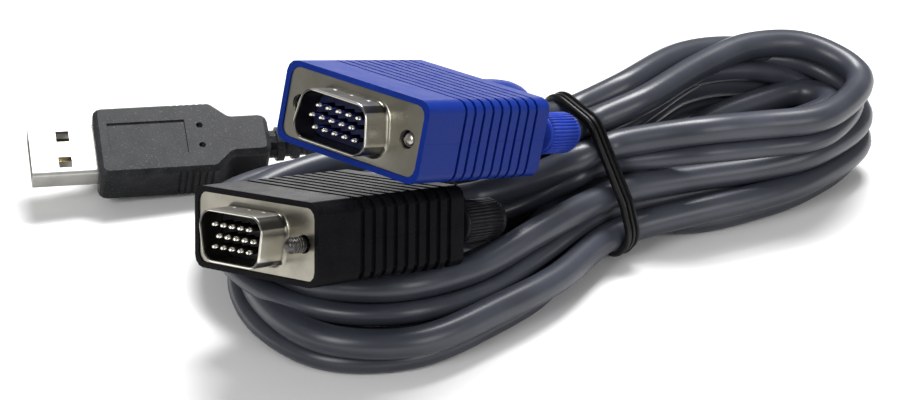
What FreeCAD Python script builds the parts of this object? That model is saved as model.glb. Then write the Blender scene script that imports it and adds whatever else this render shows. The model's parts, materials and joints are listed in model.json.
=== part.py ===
import FreeCAD, Part
import math
import os

# A keyboard-video-mouse cable: a blue and a black 15-way D plug and a USB plug on one twin lead,
# which is folded into a hank, tied at its waist and laid on a table. Millimetres, +Z up.
# Each plug is drawn about its own axis (X across, Y from the mating face to the cable, Z up) and
# then placed where it lies on the hank.

V = FreeCAD.Vector

# Twin lead: a thick video lead with a thin USB lead bonded beside it
video_lead_d = 5.5
usb_lead_d = 4.0

# Short flat sides that stand for a round corner, a hole or bar, a larger round, and a lead
corner_steps = 3
hole_sides = 12
round_sides = 24
lead_sides = 8

# Metal shell of the 15-way plug
screw_spacing = 24.99
flange_hole_d = 3.3
flange_ear = 2.91
flange_width = screw_spacing + 2 * flange_ear
flange_height = 12.55
flange_corner = 1.8
shell_sheet = 0.5
shroud_width = 16.92
shroud_height = 8.36
shroud_corner = 2.5
shroud_slope = 10.0
shroud_reach = 5.9
rear_can_reach = 5.2
dimple_d = 1.5
dimple_depth = 0.28
dimple_floor_share = 0.4
dimple_pitch = 3.9
dimple_from_flange = 1.5

# Contacts and their block
pin_d = 0.76
pin_sides = 6
pin_nose = 0.4
pin_nose_share = 0.5
pin_pitch = 2.29
row_pitch = 1.98
pins_per_row = 5
pin_recess = 0.4
block_face = 1.0
block_length = 7.4
cup_d = 1.3
cup_length = 3.0

# Hood
hood_side_wall = 1.15
hood_top_wall = 1.1
hood_width = flange_width + 2 * hood_side_wall
hood_height = flange_height + 2 * hood_top_wall
hood_corner = 2.2
hood_depth = 35.8
hood_rim = 0.25
hood_rear_edge = 1.4
groove_depth = 0.5
groove_corner = 1.3
tunnel_d = 3.6
wiring_space = 5.0
boot_d = 14.0
boot_straight = 4.8
boot_length = 10.7
boot_bulge = ((0.45, 0.93), (0.8, 0.78))
blue_boot_end_d = 7.6
black_boot_end_d = 10.6
blue_groove_count = 9
blue_groove_pitch = 2.58
blue_groove_width = 0.7
blue_groove_start = 9.6
black_groove_count = 9
black_groove_pitch = 2.6
black_groove_width = 1.1
black_groove_start = 9.3

# Thumbscrews
thread_d = 2.84
thread_length = 3.5
shank_d = 2.4
screw_grip_length = 6.0
screw_chamfer = 0.4
knob_dome = ((0.0, 1.0), (1.6, 0.86), (2.4, 0.55))
knob_rib_depth = 0.28
blue_screw_travel = 1.4
blue_screw_out = {"left": -0.4, "right": -0.4}
blue_knob_d = 7.7
blue_knob_length = 10.4
blue_knob_ribs = 24
black_screw_travel = 4.2
black_screw_out = {"left": -0.4, "right": 3.8}
black_knob_d = 7.9
black_knob_length = 10.9
black_knob_ribs = 22

# USB plug
usb_shell_width = 12.0
usb_shell_height = 4.5
usb_shell_sheet = 0.3
usb_shell_corner = 0.7
usb_shell_out = 12.8
usb_shell_seat = 5.0
usb_window = 2.5
usb_window_offset = 3.15
usb_window_from_tip = 6.6
usb_tongue_height = 1.9
usb_tongue_setback = 0.6
usb_contact_width = 1.1
usb_contact_height = 0.25
usb_contact_length = 8.5
usb_contact_offsets = (-3.5, -1.0, 1.0, 3.5)
usb_body_width = 16.8
usb_body_height = 9.0
usb_body_length = 23.4
usb_shoulder = 3.6
usb_neck_width = 9.8
usb_neck_length = 7.6
usb_body_edge = 0.9
usb_panel_length = 15.4
usb_panel_width = 8.0
usb_panel_depth = 0.35
usb_panel_from_front = 2.5
usb_dot_d = 1.3
usb_dot_from_front = 20.8
usb_dot_spacing = 4.9
usb_dot_depth = 0.7
usb_grip_count = 6
usb_grip_pitch = 1.3
usb_grip_width = 0.5
usb_grip_depth = 0.4
usb_grip_start = 15.6
usb_relief_d = 7.2
usb_relief_end_d = 5.4
usb_relief_length = 12.5
usb_relief_rings = 4

# Clearances
seat_gap = 0.08
pin_gap = 0.01

# Tie and waist of the hank
tie_width = 3.0
tie_thickness = 1.2
tie_heading = 38.0
tie_centre = V(28.0, 6.7, 0)
waist_outline = ((-10.0, 23.0), (-3.7, 21.9), (4.8, 10.6), (6.2, 7.0), (5.0, 5.4), (-11.0, 5.4))
waist_length = 6.4
near_wall = (2.6, 7.0, 14.5)
far_wall = (-7.2, 11.0, 20.0)
waist_corner = 4.0
waist_gap = 0.15
wall_corner = 3.0

# Loops of the hank: reach of each from the tie, then stations along the turns. A station has its
# place as shares of the reach, its heading, the width of the turns and their lowest and highest point.
right_reach = 50.9
right_turns = (
    (0.3556, 0.1670, 22, 10, 0.4, 22.5),
    (0.6110, 0.2495, 18, 10.5, 0, 23.5),
    (0.8075, 0.3438, 35, 10.5, 0, 23.5),
    (1.0000, 0.5639, 95, 10.5, 0, 24.5),
    (0.8664, 0.7092, 160, 10.5, 0, 27.9),
    (0.6405, 0.6365, 210, 10.5, 0, 28.5),
    (0.4047, 0.4853, 228, 11, 0, 29.5),
    (0.1591, 0.2141, 230, 11.5, 0.5, 28.5),
)
left_reach = 64.9
left_turns = (
    (-0.2450, 0.1310, 188, 11.5, 0.4, 18),
    (-0.5069, 0.1418, 178, 12, 0, 16),
    (-0.7535, 0.0955, 202, 12, 0, 14),
    (-0.9384, -0.0663, 240, 12, 0, 11),
    (-1.0000, -0.2512, 266, 12, 0, 10),
    (-0.9122, -0.4669, 305, 12, 0, 10.5),
    (-0.7458, -0.6055, 336, 12, 0, 12.6),
    (-0.5516, -0.6117, 377, 12, 0, 13.8),
    (-0.3405, -0.4422, 406, 12, 0, 13.6),
    (-0.2034, -0.2851, 409, 11.5, 0.4, 14.4),
)

# Where the plugs lie: place of the end that the lead leaves, then turn, nose-up and roll
blue_end = V(11.8, 8.48, 26.93)
blue_turn = (-41.1, -20.6, 176.4)
black_end = V(-0.47, -4.27, 13.62)
black_turn = (-47.6, -15.7, -15.7)
usb_end = V(-24.6, 36.86, 5.98)
usb_turn = (-76.4, -3.7, 25.3)

# Leads: straight run out of the plug, then places on the way into the hank
blue_lead_run = 4.0
blue_lead_places = (V(20.27, 13.98, 23.95),)
black_lead_run = 7.0
black_video_places = (V(14.5, 4.0, 15.4), V(25.5, 5.8, 19.4))
black_usb_places = (V(14.9, 4.7, 10.2), V(25.5, 6.4, 14.1))
usb_lead_run = 9.0
usb_lead_places = (V(-3.9, 36.4, 4.5), V(5.1, 27.4, 5.0), V(14.6, 15.9, 8.5))
arc_share = 0.45


def placement(end, reach, turn):
    """Roll about the plug's own axis, nose-up, turn on the table, and the lead's end in its place."""
    yaw = FreeCAD.Rotation(V(0, 0, 1), turn[0])
    nose = FreeCAD.Rotation(V(1, 0, 0), turn[1])
    roll = FreeCAD.Rotation(V(0, 1, 0), turn[2])
    spin = yaw.multiply(nose).multiply(roll)
    return FreeCAD.Placement(end - spin.multVec(V(0, reach, 0)), spin)


def save(name, shape, pose):
    placed = shape.copy()
    placed.Placement = pose.multiply(placed.Placement)
    os.makedirs("parts", exist_ok=True)
    placed.exportStep("parts/" + name + ".step")
    return placed


def box(x0, x1, y0, y1, z0, z1):
    return Part.makeBox(x1 - x0, y1 - y0, z1 - z0, V(x0, y0, z0))


def ring(radii, y, x=0.0, z=0.0):
    """Corners of a polygon across the plug, one for each radius."""
    points = []
    for i, r in enumerate(radii):
        a = 2 * math.pi * i / len(radii)
        points.append(V(x + r * math.cos(a), y, z + r * math.sin(a)))
    return points


def closed(points):
    return Part.makePolygon(points + points[:1])


def prism(radii, y0, y1, x=0.0, z=0.0):
    return Part.Face(closed(ring(radii, y0, x, z))).extrude(V(0, y1 - y0, 0))


def rod(d, y0, y1, x=0.0, z=0.0):
    """Bar along the plug's axis."""
    return prism([d / 2] * hole_sides, y0, y1, x, z)


def flat_sided(sections):
    """Solid through sections with equal numbers of corners, with flat three-cornered sides."""
    corners = len(sections[0])
    outlines = [sections[0], sections[-1]]
    for this, following in zip(sections, sections[1:]):
        for i in range(corners):
            j = (i + 1) % corners
            outlines.append([this[i], this[j], following[j]])
            outlines.append([this[i], following[j], following[i]])
    faces = [Part.Face(closed(points)) for points in outlines]
    return Part.makeSolid(Part.makeShell(faces))


def turned(profile, sides, x=0.0, z=0.0):
    """Round solid along the plug's axis through (radius, depth) points."""
    return flat_sided([ring([r] * sides, y, x, z) for r, y in profile])


def rounded_prism(corners, corner_r, y0, y1):
    """Prism along the plug's axis, each corner of its outline rounded in a few steps."""
    outline = [V(x, y0, z) for x, z in corners]
    points = []
    for before, here, after in zip(outline[-1:] + outline[:-1], outline, outline[1:] + outline[:1]):
        first = (before - here).normalize()
        second = (after - here).normalize()
        half = first.getAngle(second) / 2
        centre = here + (first + second).normalize() * (corner_r / math.sin(half))
        arm = here + first * (corner_r / math.tan(half)) - centre
        turn = FreeCAD.Rotation(arm, here + second * (corner_r / math.tan(half)) - centre)
        for step in range(corner_steps + 1):
            share = math.degrees(turn.Angle) * step / corner_steps
            points.append(centre + FreeCAD.Rotation(turn.Axis, share).multVec(arm))
    return Part.Face(closed(points)).extrude(V(0, y1 - y0, 0))


def rounded_block(width, height, corner, y0, y1):
    x = width / 2
    z = height / 2
    return rounded_prism([(x, z), (-x, z), (-x, -z), (x, -z)], corner, y0, y1)


def d_block(width, height, corner, y0, y1):
    """Prism with the plug's D outline, wide side up."""
    top = width / 2
    bottom = top - height * math.tan(math.radians(shroud_slope))
    z = height / 2
    return rounded_prism([(top, z), (-top, z), (-bottom, -z), (bottom, -z)], corner, y0, y1)


def front_shell():
    outer = (shroud_width + 2 * shell_sheet, shroud_height + 2 * shell_sheet)
    shroud = d_block(*outer, shroud_corner + shell_sheet, -shroud_reach, shell_sheet)
    flange = rounded_block(flange_width, flange_height, flange_corner, 0, shell_sheet)
    shape = flange.fuse(shroud)
    shape = shape.cut(d_block(shroud_width, shroud_height, shroud_corner, -shroud_reach, shell_sheet))
    for side in (-1, 1):
        shape = shape.cut(rod(flange_hole_d, 0, shell_sheet, side * screw_spacing / 2))
        for step in (-1, 0, 1):
            dimple = turned([(dimple_d / 2, 0), (dimple_floor_share * dimple_d / 2, dimple_depth)], pin_sides)
            dimple.rotate(V(0, 0, 0), V(1, 0, 0), -90 * side)
            dimple.translate(V(step * dimple_pitch, -dimple_from_flange, side * outer[1] / 2))
            shape = shape.cut(dimple)
    return shape


def rear_shell():
    outer = (shroud_width + 2 * shell_sheet, shroud_height + 2 * shell_sheet)
    back = shell_sheet + rear_can_reach
    can = d_block(*outer, shroud_corner + shell_sheet, shell_sheet, back)
    flange = rounded_block(flange_width, flange_height, flange_corner, shell_sheet, 2 * shell_sheet)
    shape = flange.fuse(can)
    shape = shape.cut(d_block(shroud_width, shroud_height, shroud_corner, shell_sheet, back))
    for side in (-1, 1):
        shape = shape.cut(rod(flange_hole_d, shell_sheet, 2 * shell_sheet, side * screw_spacing / 2))
    return shape


def contact_places():
    """Three rows of pins, the middle row shifted by half a pitch."""
    places = []
    for row in (-1, 0, 1):
        shift = pin_pitch / 4 if row == 0 else -pin_pitch / 4
        for column in range(pins_per_row):
            places.append(((column - (pins_per_row - 1) / 2) * pin_pitch + shift, row * row_pitch))
    return places


def insulator():
    width = shroud_width - 2 * seat_gap
    height = shroud_height - 2 * seat_gap
    block = d_block(width, height, shroud_corner - seat_gap, -block_face, block_length - block_face)
    hole = [pin_d / 2 + pin_gap] * pin_sides
    return block.cut([prism(hole, -block_face, block_length, x, z) for x, z in contact_places()])


def pins():
    tip = pin_recess - shroud_reach
    back = block_length - block_face
    r = pin_d / 2
    profile = [(pin_nose_share * r, tip), (r, tip + pin_nose), (r, back)]
    profile += [(cup_d / 2, back), (cup_d / 2, back + cup_length)]
    return Part.makeCompound([turned(profile, pin_sides, x, z) for x, z in contact_places()])


def boot(end_d):
    """Round cable boot behind the hood, drawn in to its end."""
    r = boot_d / 2
    shoulder = hood_depth + boot_straight
    tail = boot_length - boot_straight
    profile = [(r, hood_depth - hood_rear_edge), (r, shoulder)]
    profile += [(end_d / 2 + share * (r - end_d / 2), shoulder + along * tail) for along, share in boot_bulge]
    return turned(profile + [(end_d / 2, shoulder + tail)], round_sides)


def groove(y0, width):
    """Cutter for one grip groove round the hood, with bevelled inner corners."""
    x = hood_width / 2 - groove_depth
    z = hood_height / 2 - groove_depth
    right = [(x - groove_corner, -z), (x, groove_corner - z), (x, z - groove_corner), (x - groove_corner, z)]
    core = [V(px, y0, pz) for px, pz in right + [(-px, pz) for px, pz in reversed(right)]]
    sleeve = box(-hood_width, hood_width, y0, y0 + width, -hood_height, hood_height)
    return sleeve.cut(Part.Face(closed(core)).extrude(V(0, width, 0)))


def hood(count, pitch, width, start, boot_end_d):
    shape = rounded_block(hood_width, hood_height, hood_corner, -hood_rim, hood_depth)
    rear_edges = [e for e in shape.Edges if e.BoundBox.YMin > hood_depth - seat_gap]
    shape = shape.makeChamfer(hood_rear_edge, rear_edges)
    shape = shape.cut([groove(start + i * pitch, width) for i in range(count)]).fuse(boot(boot_end_d))
    seat = 2 * seat_gap
    outer = (shroud_width + 2 * shell_sheet + seat, shroud_height + 2 * shell_sheet + seat)
    wiring_end = block_length - block_face + cup_length + wiring_space
    flange_seat = (flange_width + seat, flange_height + seat, flange_corner + seat_gap)
    cuts = [
        rounded_block(*flange_seat, -hood_rim, 2 * shell_sheet),
        d_block(*outer, shroud_corner + shell_sheet, 0, shell_sheet + rear_can_reach),
        d_block(shroud_width, shroud_height, shroud_corner, 0, wiring_end),
    ]
    for side in (-1, 1):
        cuts.append(rod(tunnel_d, 0, hood_depth, side * screw_spacing / 2))
    return shape.cut(cuts)


def screw(side, out, knob_front):
    """Thumbscrew's steel: thread at the nose, thinner shank that ends inside the knob."""
    nose = Part.makeCone(thread_d / 2 - screw_chamfer, thread_d / 2, screw_chamfer, V(0, -out, 0), V(0, 1, 0))
    root = thread_length - out
    thread_start = V(0, screw_chamfer - out, 0)
    thread = Part.makeCylinder(thread_d / 2, root - thread_start.y, thread_start, V(0, 1, 0))
    shape = nose.fuse([thread, rod(shank_d, root, knob_front + screw_grip_length)])
    shape.translate(V(side * screw_spacing / 2, 0, 0))
    return shape


def knob(side, d, length, ribs, front):
    """Knob with lengthwise ribs, a domed end and a bore for the screw's shank."""
    r = d / 2
    root = r - knob_rib_depth
    dome = front + length - knob_dome[-1][0]
    shape = prism([r, root] * ribs, front, dome)
    shape = shape.fuse(turned([(share * root, dome + y) for y, share in knob_dome], round_sides))
    shape = shape.cut(rod(shank_d, front, front + screw_grip_length))
    shape.translate(V(side * screw_spacing / 2, 0, 0))
    return shape


def usb_overmould():
    front = usb_shell_out
    shoulder = front + usb_body_length
    neck = shoulder + usb_shoulder
    end = neck + usb_neck_length
    half = usb_body_width / 2
    slim = usb_neck_width / 2
    z = usb_body_height / 2
    right = [(half, front), (half, shoulder), (slim, neck), (slim, end)]
    outline = right + [(-x, y) for x, y in reversed(right)]
    body = rounded_prism(outline, 2 * usb_body_edge, -z, z)
    body.rotate(V(0, 0, 0), V(1, 0, 0), -90)
    rims = [e for e in body.Edges if e.BoundBox.ZLength < seat_gap]
    body = body.makeChamfer(usb_body_edge, rims)
    relief = []
    step = usb_relief_length / (2 * usb_relief_rings)
    for i in range(2 * usb_relief_rings):
        d = usb_relief_d + (usb_relief_end_d - usb_relief_d) * i / (2 * usb_relief_rings - 1)
        if i % 2 == 0:
            d = (d + usb_lead_d) / 2
        relief.append(rod(d, end + (i * step if i else -usb_body_edge), end + (i + 1) * step))
    body = body.fuse(relief)
    seat = 2 * seat_gap
    shell_seat = (usb_shell_width + seat, usb_shell_height + seat, usb_shell_corner + seat_gap)
    cuts = [rounded_block(*shell_seat, front, front + usb_shell_seat)]
    panel = front + usb_panel_from_front
    across = usb_panel_width / 2
    cuts.append(box(-across, across, panel, panel + usb_panel_length, z - usb_panel_depth, z))
    for side in (-1, 1):
        at = V(side * usb_dot_spacing / 2, front + usb_dot_from_front, z - usb_dot_depth)
        dot = rod(usb_dot_d, 0, usb_dot_depth)
        dot.rotate(V(0, 0, 0), V(1, 0, 0), 90)
        dot.translate(at)
        cuts.append(dot)
        for i in range(usb_grip_count):
            y = front + usb_grip_start + i * usb_grip_pitch
            x0, x1 = sorted((side * half, side * (half - usb_grip_depth)))
            cuts.append(box(x0, x1, y, y + usb_grip_width, -z, z))
    return body.cut(cuts)


def usb_shell():
    length = usb_shell_out + usb_shell_seat
    shape = rounded_block(usb_shell_width, usb_shell_height, usb_shell_corner, 0, length)
    inner_corner = usb_shell_corner - usb_shell_sheet
    inner = (usb_shell_width - 2 * usb_shell_sheet, usb_shell_height - 2 * usb_shell_sheet, inner_corner)
    cuts = [rounded_block(*inner, 0, length)]
    half = usb_window / 2
    for side in (-1, 1):
        x = side * usb_window_offset
        y = usb_window_from_tip
        z = usb_shell_height
        cuts.append(box(x - half, x + half, y - half, y + half, -z, z))
    return shape.cut(cuts)


def usb_tongue():
    half = usb_shell_width / 2 - usb_shell_sheet - seat_gap
    floor = usb_shell_sheet + seat_gap - usb_shell_height / 2
    corner_room = usb_shell_corner - usb_shell_sheet
    back = usb_shell_out + usb_shell_seat
    slab = box(-half, half, usb_tongue_setback, back, floor, floor + usb_tongue_height)
    low = [e for e in slab.Edges if e.BoundBox.ZMax < floor + seat_gap and e.BoundBox.YLength > usb_shell_out]
    return slab.makeChamfer(corner_room, low)


def usb_contacts():
    top = usb_shell_sheet + seat_gap - usb_shell_height / 2 + usb_tongue_height
    half = usb_contact_width / 2
    y0 = 2 * usb_tongue_setback
    strips = []
    for x in usb_contact_offsets:
        strips.append(box(x - half, x + half, y0, y0 + usb_contact_length, top, top + usb_contact_height))
    return Part.makeCompound(strips)


def axis_pose(x, y, z, heading):
    """Pose of a section that faces along a heading on the table."""
    return FreeCAD.Placement(V(x, y, z), FreeCAD.Rotation(V(0, 0, 1), heading - 90))


def wall_section(x, y, heading, width, low, high):
    """Corners of an upright section of the turns, bevelled."""
    low = max(low, 0)
    across = width / 2
    inner = across - wall_corner
    outline = [(inner, low), (across, low + wall_corner), (across, high - wall_corner), (inner, high)]
    outline += [(-x, z) for x, z in reversed(outline)]
    pose = axis_pose(x, y, 0, heading)
    return [pose.multVec(V(x, 0, z)) for x, z in outline]


def eased(stations):
    """Adds a station midway between each two, on a smooth line through them all."""
    full = [stations[0]] + stations + [stations[-1]]
    result = []
    for before, this, following, after in zip(full, full[1:], full[2:], full[3:]):
        result.append(this)
        group = zip(before, this, following, after)
        result.append(tuple((9 * (b + c) - a - d) / 16 for a, b, c, d in group))
    result.append(stations[-1])
    return result


def waist_block(grow, length):
    """Length of bundle inside the tie, with the tie's rounded outline grown outwards."""
    points = [V(x, -length / 2, z) for x, z in waist_outline]
    outline = closed(points).makeOffset2D(grow)
    return Part.Face(outline).extrude(V(0, length, 0))


def waist_station(wall, turn, end):
    """Section of the near or far wall inside the waist, towards its right (+1) or left (-1) end."""
    offset, width, high = wall
    pose = axis_pose(tie_centre.x, tie_centre.y, 0, tie_heading)
    centre = pose.multVec(V(offset, end * waist_length / 4, 0))
    low = min(z for x, z in waist_outline) - waist_corner + tie_thickness
    return (centre.x, centre.y, tie_heading + turn, width, low, high)


def hank():
    """Outer shape of the tied turns: one open loop each side of the waist."""
    loops = []
    near = (near_wall, 0)
    far = (far_wall, 180)
    near_again = (near_wall, 360)
    right = (1, near, far, right_reach, right_turns)
    left = (-1, far, near_again, left_reach, left_turns)
    for end, first, last, reach, turns in (right, left):
        stations = [waist_station(*first, end)]
        for along, across, heading, width, low, high in turns:
            place = tie_centre + V(along, across, 0) * reach
            stations.append((place.x, place.y, heading, width, low, high))
        stations.append(waist_station(*last, end))
        loops.append(flat_sided([wall_section(*s) for s in eased(stations)]))
    middle = waist_block(waist_corner - waist_gap, waist_length)
    middle.Placement = axis_pose(tie_centre.x, tie_centre.y, 0, tie_heading)
    return middle.fuse(loops).removeSplitter()


def tie():
    """Flat band round the waist."""
    band = waist_block(waist_corner + tie_thickness, tie_width)
    return band.cut(waist_block(waist_corner, tie_width))


def lead(name, d, points):
    """Lead along straight runs joined by tangent arcs, as wide as the runs allow."""
    edges = []
    start = points[0]
    radii = []
    for before, corner, after in zip(points, points[1:], points[2:]):
        first = (before - corner).normalize()
        second = (after - corner).normalize()
        half_turn = (math.pi - first.getAngle(second)) / 2
        reach = arc_share * min(before.distanceToPoint(corner), after.distanceToPoint(corner))
        radius = reach / math.tan(half_turn)
        radii.append(round(radius, 1))
        inward = (first + second).normalize()
        middle = corner + inward * (radius / math.cos(half_turn) - radius)
        arc_start = corner + first * reach
        arc_end = corner + second * reach
        edges.append(Part.makeLine(start, arc_start))
        edges.append(Part.Arc(arc_start, middle, arc_end).toShape())
        start = arc_end
    edges.append(Part.makeLine(start, points[-1]))
    path = Part.Wire(edges)
    section = closed(ring([d / 2] * lead_sides, 0))
    ahead = FreeCAD.Rotation(V(0, 1, 0), points[1] - points[0])
    section.Placement = FreeCAD.Placement(points[0], ahead)
    tube = path.makePipeShell([section], True, False)
    expected = Part.Face(section).Area * path.Length
    print(name, "radii", radii, "length", round(path.Length, 1), "volume share", round(tube.Volume / expected, 4))
    return tube


def plug(colour, pose, hood_shape, outs, travel, knob_sizes):
    save(colour + "_hood", hood_shape, pose)
    save(colour + "_front_shell", front_shell(), pose)
    save(colour + "_rear_shell", rear_shell(), pose)
    save(colour + "_insulator", insulator(), pose)
    save(colour + "_pins", pins(), pose)
    for hand, side in (("left", -1), ("right", 1)):
        knob_front = hood_depth + travel - outs[hand]
        save(colour + "_screw_" + hand, screw(side, outs[hand], knob_front), pose)
        save(colour + "_knob_" + hand, knob(side, *knob_sizes, knob_front), pose)


still = FreeCAD.Placement()
boot_exit = hood_depth + boot_length
usb_length = usb_shell_out + usb_body_length + usb_shoulder + usb_neck_length + usb_relief_length
blue_pose = placement(blue_end, boot_exit, blue_turn)
black_pose = placement(black_end, boot_exit, black_turn)
usb_pose = placement(usb_end, usb_length, usb_turn)

blue_grip = (blue_groove_count, blue_groove_pitch, blue_groove_width, blue_groove_start)
black_grip = (black_groove_count, black_groove_pitch, black_groove_width, black_groove_start)
blue_knob = (blue_knob_d, blue_knob_length, blue_knob_ribs)
black_knob = (black_knob_d, black_knob_length, black_knob_ribs)
blue_hood = hood(*blue_grip, blue_boot_end_d)
black_hood = hood(*black_grip, black_boot_end_d)
plug("blue", blue_pose, blue_hood, blue_screw_out, blue_screw_travel, blue_knob)
plug("black", black_pose, black_hood, black_screw_out, black_screw_travel, black_knob)

save("usb_overmould", usb_overmould(), usb_pose)
save("usb_shell", usb_shell(), usb_pose)
save("usb_tongue", usb_tongue(), usb_pose)
save("usb_contacts", usb_contacts(), usb_pose)

save("cable_hank", hank(), still)
save("cable_tie", tie(), axis_pose(tie_centre.x, tie_centre.y, 0, tie_heading))

twin_reach = (video_lead_d + usb_lead_d) / 2
blue_way = [blue_end, blue_pose.multVec(V(0, boot_exit + blue_lead_run, 0)), *blue_lead_places]
save("blue_video_lead", lead("blue_video_lead", video_lead_d, blue_way), still)

black_lift = usb_lead_d / 2
black_run = (boot_exit, boot_exit + black_lead_run)
black_way = [black_pose.multVec(V(0, y, black_lift)) for y in black_run]
black_way += black_video_places
save("black_video_lead", lead("black_video_lead", video_lead_d, black_way), still)
thin_way = [black_pose.multVec(V(0, y, black_lift - twin_reach)) for y in black_run]
thin_way += black_usb_places
save("black_usb_lead", lead("black_usb_lead", usb_lead_d, thin_way), still)

usb_way = [usb_end, usb_pose.multVec(V(0, usb_length + usb_lead_run, 0)), *usb_lead_places]
save("usb_lead", lead("usb_lead", usb_lead_d, usb_way), still)
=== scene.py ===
import bmesh
import bpy
import json
import math
from mathutils import Matrix, Vector


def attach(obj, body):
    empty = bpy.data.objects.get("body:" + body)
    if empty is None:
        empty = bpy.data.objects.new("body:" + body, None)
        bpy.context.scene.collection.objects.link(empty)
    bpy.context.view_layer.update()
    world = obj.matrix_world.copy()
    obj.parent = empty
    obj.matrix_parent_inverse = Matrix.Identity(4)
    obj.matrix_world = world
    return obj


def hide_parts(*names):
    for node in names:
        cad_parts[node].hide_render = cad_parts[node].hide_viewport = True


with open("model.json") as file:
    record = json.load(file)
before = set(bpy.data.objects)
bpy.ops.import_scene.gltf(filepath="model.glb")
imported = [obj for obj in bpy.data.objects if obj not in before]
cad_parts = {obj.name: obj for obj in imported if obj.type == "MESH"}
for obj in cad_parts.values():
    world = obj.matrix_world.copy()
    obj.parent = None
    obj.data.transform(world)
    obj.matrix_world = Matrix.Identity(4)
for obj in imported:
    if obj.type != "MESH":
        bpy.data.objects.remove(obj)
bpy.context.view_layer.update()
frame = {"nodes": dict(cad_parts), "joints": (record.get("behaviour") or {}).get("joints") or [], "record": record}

MM = 0.001
JOINTS = {joint["name"]: joint for joint in frame["joints"]}
MOUNTS = {mount["name"]: mount for mount in frame["record"]["mounts"]}

# Sizes of the plugs that the frame doesn't give: lengths in millimetres, turns in degrees
SHROUD_REACH = 5.9
SHROUD_WIDTH = 16.92
SHROUD_HEIGHT = 8.36
SHROUD_SLOPE = math.tan(math.radians(10.0))
SHROUD_FOOT = SHROUD_WIDTH / 2 - SHROUD_HEIGHT * SHROUD_SLOPE
SHROUD_CORNER = 2.5
SHELL_SHEET = 0.5
HOOD_DEPTH = 35.8
BOOT_EXIT = 46.5
PIN_TIP = -5.5
USB_TURN = (-76.4, -3.7, 25.3)
USB_LENGTH = 59.9

# Twin lead
VIDEO_LEAD_D = 5.5
USB_LEAD_D = 4.0
TWIN_REACH = (VIDEO_LEAD_D + USB_LEAD_D) / 2


# Places

def plug_pose(colour):
    """Frame of a D plug: X across, Y from the mating face to the lead, Z up; origin on the flange."""
    left = JOINTS[colour + "_thumbscrew_left_turn"]
    right = JOINTS[colour + "_thumbscrew_right_turn"]
    along = Vector(left["axis"]).normalized()
    across = (Vector(right["pos_m"]) - Vector(left["pos_m"])).normalized()
    origin = Vector(MOUNTS[colour + "_d_face"]["pos_m"]) + along * SHROUD_REACH * MM
    pose = Matrix((across, along, across.cross(along))).transposed().to_4x4()
    pose.translation = origin
    return pose


def usb_pose():
    """Frame of the USB plug: X across, Y from the mating face to the lead; origin on the mating face."""
    turn, nose, roll = (math.radians(angle) for angle in USB_TURN)
    spin = Matrix.Rotation(turn, 4, "Z") @ Matrix.Rotation(nose, 4, "X") @ Matrix.Rotation(roll, 4, "Y")
    spin.translation = Vector(MOUNTS["usb_face"]["pos_m"])
    return spin


POSES = {"blue": plug_pose("blue"), "black": plug_pose("black"), "usb": usb_pose()}


def at(pose, x, y, z):
    """A point of a plug's own frame, from millimetres to the row frame in metres."""
    return pose @ (Vector((x, y, z)) * MM)


# Shader maths

# Sockets of a Mix node that mixes colours: inputs for the share and the two ends, then the output
MIX_SHARE, MIX_LOW, MIX_HIGH, MIX_RESULT = 0, 6, 7, 2


class Shade:
    """A socket of a material's tree; sums, differences and products of these add Math nodes."""

    def __init__(self, tree, socket=None):
        self.tree = tree
        self.socket = socket

    def node(self, kind, settings=None, inputs=None, output=0):
        """Adds a node: its settings first, then the values or links of its sockets."""
        added = self.tree.nodes.new(kind)
        for name, value in (settings or {}).items():
            setattr(added, name, value)
        for name, value in (inputs or {}).items():
            if isinstance(value, Shade):
                self.tree.links.new(value.socket, added.inputs[name])
            else:
                added.inputs[name].default_value = value
        return Shade(self.tree, added.outputs[output])

    def maths(self, operation, first, second):
        """Adds a Math node."""
        return self.node("ShaderNodeMath", {"operation": operation}, {0: first, 1: second})

    def __add__(self, other):
        return self.maths("ADD", self, other)

    def __radd__(self, other):
        return self.maths("ADD", other, self)

    def __sub__(self, other):
        return self.maths("SUBTRACT", self, other)

    def __rsub__(self, other):
        return self.maths("SUBTRACT", other, self)

    def __mul__(self, other):
        return self.maths("MULTIPLY", self, other)

    def size(self):
        """This value without its sign."""
        return self.maths("ABSOLUTE", self, 0.0)

    def mixed(self, low, high):
        """Colour between two, by this value."""
        ends = [end if isinstance(end, Shade) else (*end, 1.0) for end in (low, high)]
        inputs = {MIX_SHARE: self, MIX_LOW: ends[0], MIX_HIGH: ends[1]}
        return self.node("ShaderNodeMix", {"data_type": "RGBA"}, inputs, MIX_RESULT)


def linear(red, green, blue):
    """Colour of a surface from the values that a picture of it shows, 0 to 255."""
    shares = (red / 255, green / 255, blue / 255)
    return tuple(s / 12.92 if s <= 0.04045 else ((s + 0.055) / 1.055) ** 2.4 for s in shares)


def new_material(name):
    """A new material, the maths of its tree and its main shader."""
    material = bpy.data.materials.new(name)
    material.use_nodes = True
    shade = Shade(material.node_tree)
    return material, shade, material.node_tree.nodes["Principled BSDF"]


def object_place(shade):
    """Object coordinates in metres."""
    return shade.node("ShaderNodeTexCoord", output="Object")


def own_coordinates(shade, pose):
    """Object coordinates turned into a plug's own frame, in metres."""
    inputs = {"Vector": object_place(shade), "Location": pose.translation, "Rotation": pose.to_euler("XYZ")}
    return shade.node("ShaderNodeMapping", {"vector_type": "TEXTURE"}, inputs)


def split(shade, vector):
    """The X, Y and Z of a vector."""
    parts = shade.node("ShaderNodeSeparateXYZ", inputs={0: vector}).socket.node.outputs
    return [Shade(shade.tree, part) for part in parts]


def noise(shade, place, scale, detail=2.0, roughness=0.5):
    """Cloudy value between 0 and 1."""
    sizes = {"Vector": place, "Scale": scale, "Detail": detail, "Roughness": roughness}
    return shade.node("ShaderNodeTexNoise", inputs=sizes)


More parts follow.
